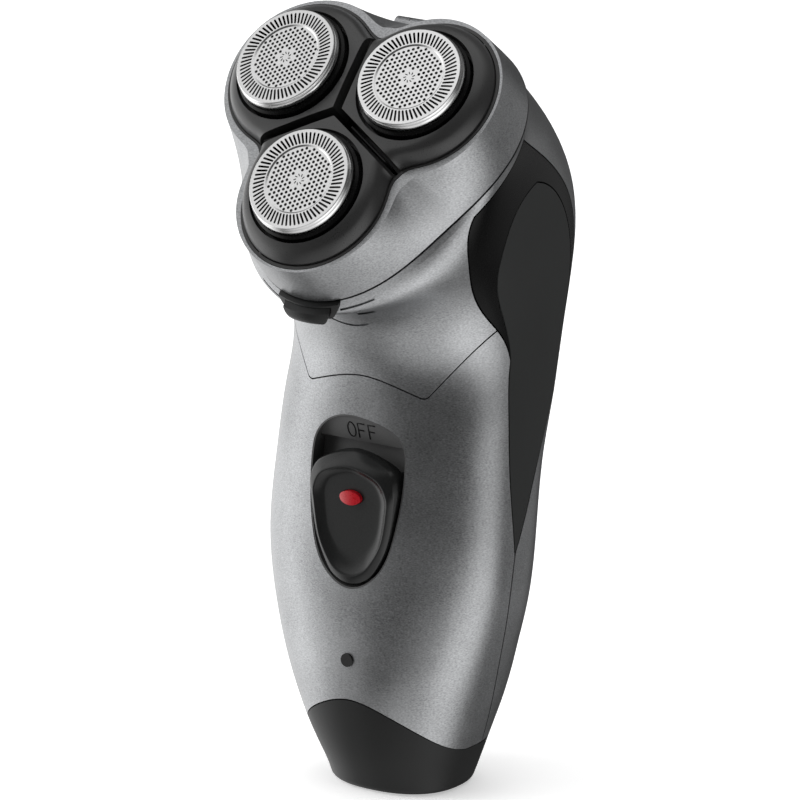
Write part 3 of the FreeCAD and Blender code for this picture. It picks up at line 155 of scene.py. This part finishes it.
def finish_material(name, dark, light, metallic=0.0, roughness=(0.3, 0.4), grain=3000.0,
                    stretch=1.0, bump=0.1, depth=0.02 * MM, cloud=60.0, **sockets):
    """Principled surface whose colour, roughness and bump follow a fine grain and a broad cloud."""
    material = bpy.data.materials.new(name)
    material.use_nodes = True
    nodes, links = material.node_tree.nodes, material.node_tree.links
    shader = nodes["Principled BSDF"]
    shader.inputs["Metallic"].default_value = metallic
    for socket, value in sockets.items():
        shader.inputs[socket.replace("_", " ")].default_value = value
    place = nodes.new("ShaderNodeTexCoord")
    scale = nodes.new("ShaderNodeMapping")
    scale.inputs["Scale"].default_value = (1.0, 1.0, stretch)
    links.new(place.outputs["Object"], scale.inputs["Vector"])
    fine = nodes.new("ShaderNodeTexNoise")
    fine.inputs["Scale"].default_value = grain
    fine.inputs["Detail"].default_value = GRAIN_DETAIL
    links.new(scale.outputs["Vector"], fine.inputs["Vector"])
    broad = nodes.new("ShaderNodeTexNoise")
    broad.inputs["Scale"].default_value = cloud
    links.new(place.outputs["Object"], broad.inputs["Vector"])
    blend = nodes.new("ShaderNodeMix")
    blend.data_type = "FLOAT"
    blend.inputs["Factor"].default_value = CLOUD_SHARE
    for noise, socket in zip((fine, broad), FLOAT_PAIR):
        links.new(noise.outputs["Fac"], blend.inputs[socket])
    spread = nodes.new("ShaderNodeMapRange")
    spread.inputs["From Min"].default_value = NOISE_LOW
    spread.inputs["From Max"].default_value = NOISE_HIGH
    links.new(blend.outputs[FLOAT_RESULT], spread.inputs["Value"])
    colour = nodes.new("ShaderNodeMix")
    colour.data_type = "RGBA"
    for shade, socket in zip((dark, light), COLOUR_PAIR):
        colour.inputs[socket].default_value = (*shade, 1.0)
    links.new(spread.outputs["Result"], colour.inputs["Factor"])
    links.new(colour.outputs[COLOUR_RESULT], shader.inputs["Base Color"])
    rough = nodes.new("ShaderNodeMapRange")
    rough.inputs["From Min"].default_value = NOISE_LOW
    rough.inputs["From Max"].default_value = NOISE_HIGH
    rough.inputs["To Min"].default_value, rough.inputs["To Max"].default_value = roughness
    links.new(blend.outputs[FLOAT_RESULT], rough.inputs["Value"])
    links.new(rough.outputs["Result"], shader.inputs["Roughness"])
    relief = nodes.new("ShaderNodeBump")
    relief.inputs["Strength"].default_value = bump
    relief.inputs["Distance"].default_value = depth
    links.new(fine.outputs["Fac"], relief.inputs["Height"])
    links.new(relief.outputs["Normal"], shader.inputs["Normal"])
    return material


def grey(value, tint=(1.0, 1.0, 1.0)):
    """Even colour of one value, leaning to a tint."""
    return tuple(value * part for part in tint)


COOL = (0.985, 1.0, 1.02)
GREENISH = (0.97, 1.0, 0.99)
MATERIALS = {
    "silver_paint": finish_material("silver_paint", grey(0.23, COOL), grey(0.54, COOL),
                                    metallic=0.9, roughness=(0.3, 0.42), grain=2200.0,
                                    stretch=2.2, bump=0.4),
    "black_gloss": finish_material("black_gloss", grey(0.004), grey(0.007), roughness=(0.22, 0.3),
                                   bump=0.02, Specular_IOR_Level=0.15),
    "pod_black": finish_material("pod_black", grey(0.032), grey(0.042), roughness=(0.26, 0.34),
                                 grain=4000.0, bump=0.04, Specular_IOR_Level=0.5),
    "switch_black": finish_material("switch_black", grey(0.016, GREENISH), grey(0.022, GREENISH),
                                    roughness=(0.2, 0.27), grain=3500.0, bump=0.06,
                                    Specular_IOR_Level=0.4),
    "recess_grey": finish_material("recess_grey", grey(0.1), grey(0.12), roughness=(0.34, 0.42),
                                   grain=3500.0, bump=0.06),
    "ring_grey": finish_material("ring_grey", grey(0.03), grey(0.04), roughness=(0.34, 0.42),
                                 bump=0.05, Specular_IOR_Level=0.4),
    "dark_plastic": finish_material("dark_plastic", grey(0.012, GREENISH), grey(0.018, GREENISH),
                                    roughness=(0.42, 0.52), grain=3500.0, bump=0.15,
                                    Specular_IOR_Level=0.3),
    "rubber": finish_material("rubber", grey(0.036, GREENISH), grey(0.046, GREENISH),
                              roughness=(0.62, 0.72), grain=4500.0, bump=0.2,
                              Specular_IOR_Level=0.2),
    "steel": finish_material("steel", grey(0.5), grey(0.6), metallic=1.0, roughness=(0.2, 0.3),
                             grain=2000.0, stretch=3.0, bump=0.04),
    # Cutter steel is painted near black, far darker than real steel: painted shade inside the caps,
    # seen through the holes.
    "cutter_steel_painted_shade": finish_material("cutter_steel_painted_shade", grey(0.05), grey(0.08), metallic=1.0,
                                    roughness=(0.3, 0.4), grain=2000.0, bump=0.05),
    "cap_steel": finish_material("cap_steel", grey(0.72), grey(0.82), metallic=1.0,
                                 roughness=(0.2, 0.28), grain=2600.0, bump=0.02),
    "red_plastic": finish_material("red_plastic", (0.5, 0.006, 0.014), (0.62, 0.01, 0.022),
                                   roughness=(0.25, 0.33), bump=0.03, Coat_Weight=0.3),
    "white_plastic": finish_material("white_plastic", grey(0.6), grey(0.68),
                                     roughness=(0.38, 0.46), bump=0.05, Subsurface_Weight=0.05),
    "lens": finish_material("lens", grey(0.01), grey(0.015), roughness=(0.08, 0.14), bump=0.01),
    "board": finish_material("board", (0.01, 0.07, 0.03), (0.015, 0.1, 0.04),
                             roughness=(0.3, 0.4), grain=900.0, bump=0.1),
    "cell_wrap": finish_material("cell_wrap", (0.02, 0.1, 0.045), (0.03, 0.13, 0.06),
                                 roughness=(0.22, 0.32), bump=0.04),
}


def dress_nodes():
    """Gives each CAD node its finish."""
    for finish, names in FINISHES.items():
        for name in names:
            mesh = NODES[name].data
            mesh.materials.clear()
            mesh.materials.append(MATERIALS[finish])


# ---- piece helpers -----------------------------------------------------------------------------
def linked(name, data):
    """New object, in the scene."""
    item = bpy.data.objects.new(name, data)
    bpy.context.scene.collection.objects.link(item)
    return item


def mesh_of(bm, name):
    """Mesh of a bmesh, which is freed."""
    mesh = bpy.data.meshes.new(name)
    bm.to_mesh(mesh)
    bm.free()
    return mesh


def frame_at(origin, x, y, z):
    """Local frame at a point, from its three axes."""
    return Matrix.Translation(origin) @ Matrix((x, y, z)).transposed().to_4x4()


def band(bm, outer, inner):
    """Strip of quads between two closed rings with as many points."""
    for i in range(len(outer)):
        j = (i + 1) % len(outer)
        bm.faces.new((outer[i], outer[j], inner[j], inner[i]))


def add_piece(name, mesh, finish, body, smooth_angle=40.0, place=None):
    """Puts a mesh in the scene with its finish, riding on a CAD body.

    A smooth_angle of 0 leaves it flat shaded.
    """
    piece = linked(name, mesh)
    if place is not None:
        mesh.transform(place)
    mesh.materials.clear()
    mesh.materials.append(MATERIALS[finish])
    for polygon in mesh.polygons:
        polygon.use_smooth = smooth_angle > 0
    mesh.set_sharp_from_angle(angle=math.radians(smooth_angle))
    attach(piece, body)
    return piece


def lathe(profile, segments=128):
    """Mesh turned about Z from an (r, z) outline."""
    bm = bmesh.new()
    steps = [2 * math.pi * i / segments for i in range(segments)]
    rings = [[bm.verts.new((r * math.cos(a), r * math.sin(a), z)) for a in steps]
             for r, z in profile]
    for ring, following in zip(rings, rings[1:]):
        band(bm, ring, following)
    bmesh.ops.recalc_face_normals(bm, faces=bm.faces)
    return mesh_of(bm, "lathe")


def curve_mesh(curve):
    """Mesh of a curve, with the curve itself removed."""
    holder = linked("holder", curve)
    graph = bpy.context.evaluated_depsgraph_get()
    mesh = bpy.data.meshes.new_from_object(holder.evaluated_get(graph))
    bpy.data.objects.remove(holder)
    bpy.data.curves.remove(curve)
    return mesh


def add_loop(curve, points, cyclic=True):
    """Adds a polyline to a curve, through points with two or three coordinates."""
    line = curve.splines.new("POLY")
    line.points.add(len(points) - 1)
    for target, point in zip(line.points, points):
        target.co = (point[0], point[1], point[2] if len(point) > 2 else 0.0, 1.0)
    line.use_cyclic_u = cyclic


def ellipse(x, y, a, b, count, turn=0.0):
    """Points of an ellipse at (x, y) whose first half axis points at angle turn."""
    points = []
    for i in range(count):
        t = 2 * math.pi * i / count
        u, v = a * math.cos(t), b * math.sin(t)
        points.append((x + u * math.cos(turn) - v * math.sin(turn),
                       y + u * math.sin(turn) + v * math.cos(turn)))
    return points


def joined(meshes):
    """One mesh out of several."""
    bm = bmesh.new()
    for mesh in meshes:
        bm.from_mesh(mesh)
        bpy.data.meshes.remove(mesh)
    return mesh_of(bm, "joined")


# ---- where each cutting unit sits, from its joint and its CAD cap -------------------------------
def unit_matrix(unit):
    """Local frame of one unit: z out of its cap, x away from the head's middle, origin on the cap."""
    spin = JOINTS["cutter_spin_" + unit]
    tilt = JOINTS["pod_tilt_" + unit]
    normal = Vector(spin["axis"]).normalized()
    centre = Vector(spin["pos_m"])
    vertices = NODES["cap_" + unit].data.vertices
    rise = max((vertex.co - centre).dot(normal) for vertex in vertices)
    along = -Vector(tilt["axis"]).normalized()
    outward = along.cross(normal).normalized()
    along = normal.cross(outward)
    return frame_at(centre + normal * rise, outward, along, normal)


def cap_radius(unit, place):
    """Radius of a unit's CAD cap, in the unit's local frame."""
    local = place.inverted()
    points = (local @ vertex.co for vertex in NODES["cap_" + unit].data.vertices)
    return max(math.hypot(point.x, point.y) for point in points)


# ---- perforated caps ---------------------------------------------------------------------------
def slot_loops(radius):
    """Ring of leaning slots in the outer track."""
    loops = []
    for i in range(CAP_SLOTS):
        turn = 2 * math.pi * i / CAP_SLOTS
        inner, outer = SLOT_INNER * radius, SLOT_OUTER * radius
        middle = (inner + outer) / 2
        centre = (middle * math.cos(turn), middle * math.sin(turn))
        loops.append(slot_outline(centre, outer - inner, SLOT_WIDTH, turn + SLOT_SWIRL))
    return loops


def hole_loops(radius):
    """Honeycomb of round holes round a solid middle."""
    loops = []
    rows = int(radius / HOLE_PITCH) + 2
    for row in range(-rows, rows + 1):
        for column in range(-rows, rows + 1):
            x = (column + 0.5 * (row % 2)) * HOLE_PITCH
            y = row * HOLE_PITCH * HONEYCOMB
            if SOLID_CENTRE * radius < math.hypot(x, y) < HOLE_FIELD * radius - HOLE_RADIUS:
                loops.append(ellipse(x, y, HOLE_RADIUS, HOLE_RADIUS, HOLE_POINTS))
    return loops


def slot_outline(centre, length, width, turn):
    """Slot with rounded ends."""
    points = []
    half, r = length / 2 - width / 2, width / 2
    for side in (1, -1):
        for k in range(SLOT_END_POINTS):
            a = -math.pi / 2 + math.pi * k / (SLOT_END_POINTS - 1)
            u, v = side * (half + r * math.cos(a)), side * r * math.sin(a)
            points.append((centre[0] + u * math.cos(turn) - v * math.sin(turn),
                           centre[1] + u * math.sin(turn) + v * math.cos(turn)))
    return points


def flat_curve(name, half_thickness):
    """Empty curve whose outlines enclose a filled plate."""
    curve = bpy.data.curves.new(name, "CURVE")
    curve.dimensions = "2D"
    curve.fill_mode = "BOTH"
    curve.extrude = half_thickness
    return curve


def flat_plate(loops, top):
    """Plate filled between outlines, the first being its edge, with its top face at a height."""
    curve = flat_curve("plate", CAP_PLATE / 2)
    for loop in loops:
        add_loop(curve, loop)
    mesh = curve_mesh(curve)
    mesh.transform(Matrix.Translation((0, 0, top - CAP_PLATE / 2)))
    return mesh


def perforated_plate(radius):
    """Outer track with slots, a sunk field with round holes, and the slope that joins them."""
    rim, step, field = radius - CAP_EDGE, TRACK_INNER * radius, HOLE_FIELD * radius
    rim_loop = ellipse(0, 0, rim, rim, RIM_POINTS)
    step_loop = ellipse(0, 0, step, step, STEP_POINTS)
    track = flat_plate([rim_loop, step_loop] + slot_loops(radius), -TRACK_SINK)
    field_loop = ellipse(0, 0, field, field, STEP_POINTS)
    middle = flat_plate([field_loop] + hole_loops(radius), -FIELD_SINK)
    slope = lathe([(step, -TRACK_SINK), (field, -FIELD_SINK), (field, -FIELD_SINK - CAP_PLATE),
                   (step, -TRACK_SINK - CAP_PLATE), (step, -TRACK_SINK)], STEP_POINTS)
    return joined([track, middle, slope])


def cap_wall(radius):
    """Polished side of the cap: chamfered rim, a fine undercut line, a flared skirt and a foot."""
    side = [(radius + out * MM, height * MM) for out, height in CAP_SIDE]
    edge = radius - CAP_EDGE
    return lathe([(edge, -CAP_PLATE), (edge, 0), (radius, -CAP_EDGE_DROP), *side,
                  (side[-1][0], -CAP_PLATE), (edge, -CAP_PLATE)])


def star():
    """Short pressed strokes round the cap's solid middle."""
    curve = flat_curve("star", STROKE_RISE)
    curve.bevel_depth = STROKE_ROUND
    for i in range(STAR_STROKES):
        turn = 2 * math.pi * i / STAR_STROKES
        centre = (STAR_RADIUS * math.cos(turn), STAR_RADIUS * math.sin(turn))
        add_loop(curve, slot_outline(centre, STROKE_LENGTH, STROKE_WIDTH, turn + STAR_LEAN))
    mesh = curve_mesh(curve)
    mesh.transform(Matrix.Translation((0, 0, -FIELD_SINK)))
    return mesh


def make_caps():
    for unit in UNITS:
        place = unit_matrix(unit)
        radius = cap_radius(unit, place)
        body = "float_" + unit
        plate = add_piece("cap_plate_" + unit, perforated_plate(radius), "cap_steel", body, 0, place)
        add_piece("cap_wall_" + unit, cap_wall(radius), "cap_steel", body, 60.0, place)
        add_piece("cap_star_" + unit, star(), "dark_plastic", body, place=place)
        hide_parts("cap_" + unit)


# ---- springs -----------------------------------------------------------------------------------
def coil(start, end, radius):
    """Helical spring between two points, with its outside radius."""
    axis = (end - start).normalized()
    side = axis.orthogonal().normalized()
    other = axis.cross(side)
    curve = bpy.data.curves.new("coil", "CURVE")
    curve.dimensions = "3D"
    curve.bevel_depth = SPRING_WIRE
    curve.bevel_resolution = SPRING_ROUND
    steps = SPRING_TURNS * SPRING_STEPS
    points = []
    for i in range(steps + 1):
        a = 2 * math.pi * SPRING_TURNS * i / steps
        points.append(start + (end - start) * (i / steps)
                      + (side * math.cos(a) + other * math.sin(a)) * (radius - SPRING_WIRE))
    add_loop(curve, points, cyclic=False)
    return curve_mesh(curve)


def head_matrix():
    """Head frame: x to the right, y up along the head, z out of the plane of the caps."""
    motor = JOINTS["motor_spin"]
    out = Vector(motor["axis"])
    up = Vector(JOINTS["release_press"]["axis"])
    centre = Vector(motor["pos_m"]) + out * MOTOR_DEPTH
    return frame_at(centre, up.cross(out), up, out)


def make_springs():
    spindle_coils = []
    for unit in UNITS:
        joint = JOINTS["spindle_spin_" + unit]
        root, out = Vector(joint["pos_m"]), Vector(joint["axis"])
        low, high = (root + out * height for height in SPINDLE_SPRING)
        spindle_coils.append(coil(low, high, SPINDLE_COIL_RADIUS))
    spindles = add_piece("spindle_coils", joined(spindle_coils), "steel", "handle")
    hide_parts("spindle_springs")
    front, back = (head_matrix() @ Vector(end) for end in RELEASE_SPRING)
    release = add_piece("release_coil", coil(front, back, RELEASE_COIL_RADIUS), "steel", "handle")
    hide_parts("release_spring")


def make_ribs():
    """Thin ribs that stand in the channels between the pods."""
    bm = bmesh.new()
    round_top = RIB_TOP - RIB_HALF
    section = [(-RIB_HALF, RIB_FOOT), (-RIB_HALF, round_top), (-RIB_HALF / 2, RIB_TOP),
               (RIB_HALF / 2, RIB_TOP), (RIB_HALF, round_top), (RIB_HALF, RIB_FOOT)]
    for turn in RIB_TURNS:
        place = head_matrix() @ Matrix.Rotation(math.radians(turn), 4, "Z")
        near, far = ([bm.verts.new(place @ Vector((x, y, z))) for y, z in section]
                     for x in (RIB_START, RIB_END))
        band(bm, near, far)
        bm.faces.new(near)
        bm.faces.new(far)
    bmesh.ops.recalc_face_normals(bm, faces=bm.faces)
    add_piece("channel_ribs", mesh_of(bm, "ribs"), "black_gloss", "head")


# ---- power switch ------------------------------------------------------------------------------
def smooth_loop(half):
    """Closed smooth outline through a right half and its mirror image, in millimetres."""
    corners = [Vector(p) for p in half]
    corners += [Vector((-x, z)) for x, z in reversed(half[1:-1])]
    count = len(corners)
    points = []
    for i in range(count):
        before, start, end, after = (corners[(i + k) % count] for k in (-1, 0, 1, 2))
        for step in range(SLIDER_STEPS):
            t = step / SLIDER_STEPS
            points.append(0.5 * (2 * start + (end - before) * t
                                 + (2 * before - 5 * start + 4 * end - after) * t ** 2
                                 + (3 * start - before - 3 * end + after) * t ** 3))
    return points


def ease(t):
    """Smooth step from 0 to 1."""
    t = min(max(t, 0.0), 1.0)
    return t * t * (3 - 2 * t)


def thumb_y(z):
    """Bowed face of the slider, before its rim and dish."""
    return THUMB_Y - THUMB_CURVE * (z - THUMB_Z) ** 2


def slider_back_y(z):
    """Back of the slider: on the recess floor, then clear of the ramp."""
    floor = RECESS_FLOOR_Y + SLIDE_SLOPE * (z - RECESS_FLOOR_Z)
    lean = (RAMP_LOW[0] - RAMP_HIGH[0]) / (RAMP_HIGH[1] - RAMP_LOW[1])
    return floor if z < CLEAR_Z else CLEAR_Y - lean * (z - CLEAR_Z)


def between(outer, inner, t):
    """Loop at a share of the way from one loop to another."""
    return [a.lerp(b, t) for a, b in zip(outer, inner)]


def slider_mesh():
    """Thumb slider: a shoulder, a raised rim, a dished face and a pocket for the lock button."""
    edge, rim, floor = (smooth_loop(half) for half in (SLIDER_EDGE, SLIDER_RIM, SLIDER_FLOOR))
    lock = []
    for point in floor:
        turn = math.atan2((point.y - LOCK_Z) / LOCK_HALF_HEIGHT, point.x / LOCK_HALF_WIDTH)
        lock.append(Vector((LOCK_HALF_WIDTH * math.cos(turn),
                            LOCK_Z + LOCK_HALF_HEIGHT * math.sin(turn))))
    rings = [[(p.x, slider_back_y(p.y), p.y) for p in edge]]
    for k in range(SHOULDER_RINGS + 1):
        share = k / SHOULDER_RINGS
        ring = []
        for outer, inner in zip(edge, rim):
            p = outer.lerp(inner, share)
            drop = SHOULDER_DROP + TOP_DROP * ease((outer.y - TOP_DROP_START) / TOP_DROP_SPAN)
            fall = drop * (1 - share) ** SHOULDER_POWER
            ring.append((p.x, thumb_y(p.y) - RIM_LIFT + fall, p.y))
        rings.append(ring)
    for k in range(1, DISH_RINGS + 1):
        share = k / DISH_RINGS
        sink = DISH_DEPTH * (1 - (1 - share) ** 2)
        rings.append([(p.x, thumb_y(p.y) - RIM_LIFT + sink, p.y)
                      for p in between(rim, floor, share)])
    for k in range(1, LOCK_RINGS + 1):
        rings.append([(p.x, thumb_y(p.y) - RIM_LIFT + DISH_DEPTH, p.y)
                      for p in between(floor, lock, k / LOCK_RINGS)])
    rings.append([(x, y + POCKET_DEPTH, z) for x, y, z in rings[-1]])
    bm = bmesh.new()
    loops = [[bm.verts.new(Vector(p) * MM) for p in ring] for ring in rings]
    for outer, inner in zip(loops, loops[1:]):
        band(bm, outer, inner)
    bm.faces.new(loops[-1])
    bm.faces.new(reversed(loops[0]))
    bmesh.ops.recalc_face_normals(bm, faces=bm.faces)
    return mesh_of(bm, "slider")


def legend_mesh():
    """The word OFF in round-ended strokes, flat in x and y."""
    curve = bpy.data.curves.new("legend", "CURVE")
    curve.dimensions = "3D"
    curve.bevel_depth = LEGEND_STROKE * MM
    curve.bevel_resolution = 2
    w, h = LEGEND_WIDTH, LEGEND_HEIGHT
    left = -(3 * w + 2 * LEGEND_GAP) / 2
    add_loop(curve, ellipse((left + w / 2) * MM, 0, w / 2 * MM, h / 2 * MM, LEGEND_POINTS))
    for letter in (1, 2):
        x = left + letter * (w + LEGEND_GAP)
        strokes = [[(x, -h / 2), (x, h / 2), (x + w, h / 2)],
                   [(x, LEGEND_BAR), (x + LEGEND_BAR_SHARE * w, LEGEND_BAR)]]
        for stroke in strokes:
            add_loop(curve, [(px * MM, py * MM) for px, py in stroke], cyclic=False)
    return curve_mesh(curve)


def make_switch():
    slider = add_piece("thumb_slider", slider_mesh(), "switch_black", "switch", 75.0)
    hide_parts("switch_slider")
    rise = RAMP_HIGH[1] - RAMP_LOW[1]
    out = RAMP_LOW[0] - RAMP_HIGH[0]
    share = (LEGEND_Z - RAMP_LOW[1]) / rise
    spot = Vector((LEGEND_X, RAMP_LOW[0] - out * share + LEGEND_SINK, LEGEND_Z)) * MM
    right = Vector((1, 0, 0))
    up = Vector((0, -out, rise)).normalized()
    place = frame_at(spot, right, up, right.cross(up))
    add_piece("off_legend", legend_mesh(), "black_gloss", "handle", place=place)


# ---- stage -------------------------------------------------------------------------------------
LIGHT_AIM = (0, 0, 0.09)
LIGHTS = [                                         # name, place, size, power
    ("key", (-1.1, -0.8, 0.7), (0.9, 1.2), 9.0),
    ("top", (0.1, 0.1, 1.5), (1.4, 1.4), 10.0),
]
FLOOR_RADIUS, FLOOR_DROP = 6.0, 0.2 * MM
FLOOR_POINTS = 96
FLOOR_GLOW = 0.45


def make_lights():
    """Area lights, left out of reflections: the world's lobes make those."""
    for name, spot, size, power in LIGHTS:
        data = bpy.data.lights.new(name, "AREA")
        data.shape = "RECTANGLE"
        data.size, data.size_y = size
        data.energy = power
        light = linked(name, data)
        light.location = spot
        light.rotation_euler = (Vector(LIGHT_AIM) - Vector(spot)).to_track_quat("-Z", "Y").to_euler()
        light.visible_glossy = False


def make_floor():
    bm = bmesh.new()
    bmesh.ops.create_circle(bm, cap_ends=True, segments=FLOOR_POINTS, radius=FLOOR_RADIUS)
    mesh = mesh_of(bm, "floor")
    mesh.materials.append(finish_material("floor", grey(0.93), grey(0.95), roughness=(0.75, 0.85),
                                          grain=40.0, bump=0.0, cloud=2.0, Specular_IOR_Level=0.1,
                                          Emission_Color=(1.0, 1.0, 1.0, 1.0),
                                          Emission_Strength=FLOOR_GLOW))
    floor = linked("floor", mesh)
    floor.location.z = -FLOOR_DROP
    floor.visible_glossy = False
    floor.visible_diffuse = False


# Soft lobes of the studio: direction, strength, cosine where each lobe starts and where it is full.
STUDIO_BASE = 0.08
STUDIO_LOBES = [
    ((-0.93, 0.1, -0.2), 1.35, 0.55, 0.97),
    ((-0.54, -0.48, 0.69), 0.8, 0.8, 0.96),
    ((-0.8, -0.55, -0.15), 0.6, 0.82, 0.97),
    ((0.35, -0.33, -0.88), 0.75, 0.55, 0.93),
    ((0.82, -0.22, -0.5), 0.8, 0.8, 0.97),
    ((0.5, 0.85, -0.2), 0.25, 0.8, 0.98),
    ((1.0, -0.1, -0.15), 0.6, 0.88, 0.99),
    ((0.1, 0.1, 1.0), 0.8, 0.7, 0.95),
]


def make_world():
    """Studio surround: a dim base with broad soft lobes."""
    world = bpy.data.worlds.new("studio")
    world.use_nodes = True
    nodes, links = world.node_tree.nodes, world.node_tree.links
    place = nodes.new("ShaderNodeTexCoord")
    total = None
    for direction, strength, start, full in STUDIO_LOBES:
        towards = nodes.new("ShaderNodeVectorMath")
        towards.operation = "DOT_PRODUCT"
        towards.inputs[1].default_value = Vector(direction).normalized()
        links.new(place.outputs["Generated"], towards.inputs[0])
        lobe = nodes.new("ShaderNodeMapRange")
        lobe.interpolation_type = "SMOOTHSTEP"
        lobe.inputs["From Min"].default_value = start
        lobe.inputs["From Max"].default_value = full
        lobe.inputs["To Max"].default_value = strength
        links.new(towards.outputs["Value"], lobe.inputs["Value"])
        add = nodes.new("ShaderNodeMath")
        add.operation = "ADD"
        add.inputs[1].default_value = STUDIO_BASE
        if total is not None:
            links.new(total, add.inputs[1])
        links.new(lobe.outputs["Result"], add.inputs[0])
        total = add.outputs["Value"]
    nodes["Background"].inputs["Color"].default_value = (1.0, 1.0, 1.0, 1.0)
    links.new(total, nodes["Background"].inputs["Strength"])
    bpy.context.scene.world = world


def make_camera():
    data = bpy.data.cameras.new("camera")
    data.lens = CAMERA_LENS
    data.sensor_width = CAMERA_SENSOR
    data.clip_start, data.clip_end = CAMERA_CLIP
    camera = linked("camera", data)
    a, e = math.radians(CAMERA_AZIMUTH), math.radians(CAMERA_ELEVATION)
    back = Vector((math.sin(a) * math.cos(e), -math.cos(a) * math.cos(e), math.sin(e)))
    camera.location = CAMERA_AIM + back * CAMERA_DISTANCE
    camera.rotation_mode = "QUATERNION"
    camera.rotation_quaternion = (-back).to_track_quat("-Z", "Y")
    bpy.context.scene.camera = camera


make_camera()
make_world()
make_lights()
make_floor()
dress_nodes()
make_caps()
make_springs()
make_ribs()
make_switch()

bpy.context.scene.view_settings.view_transform = "Standard"
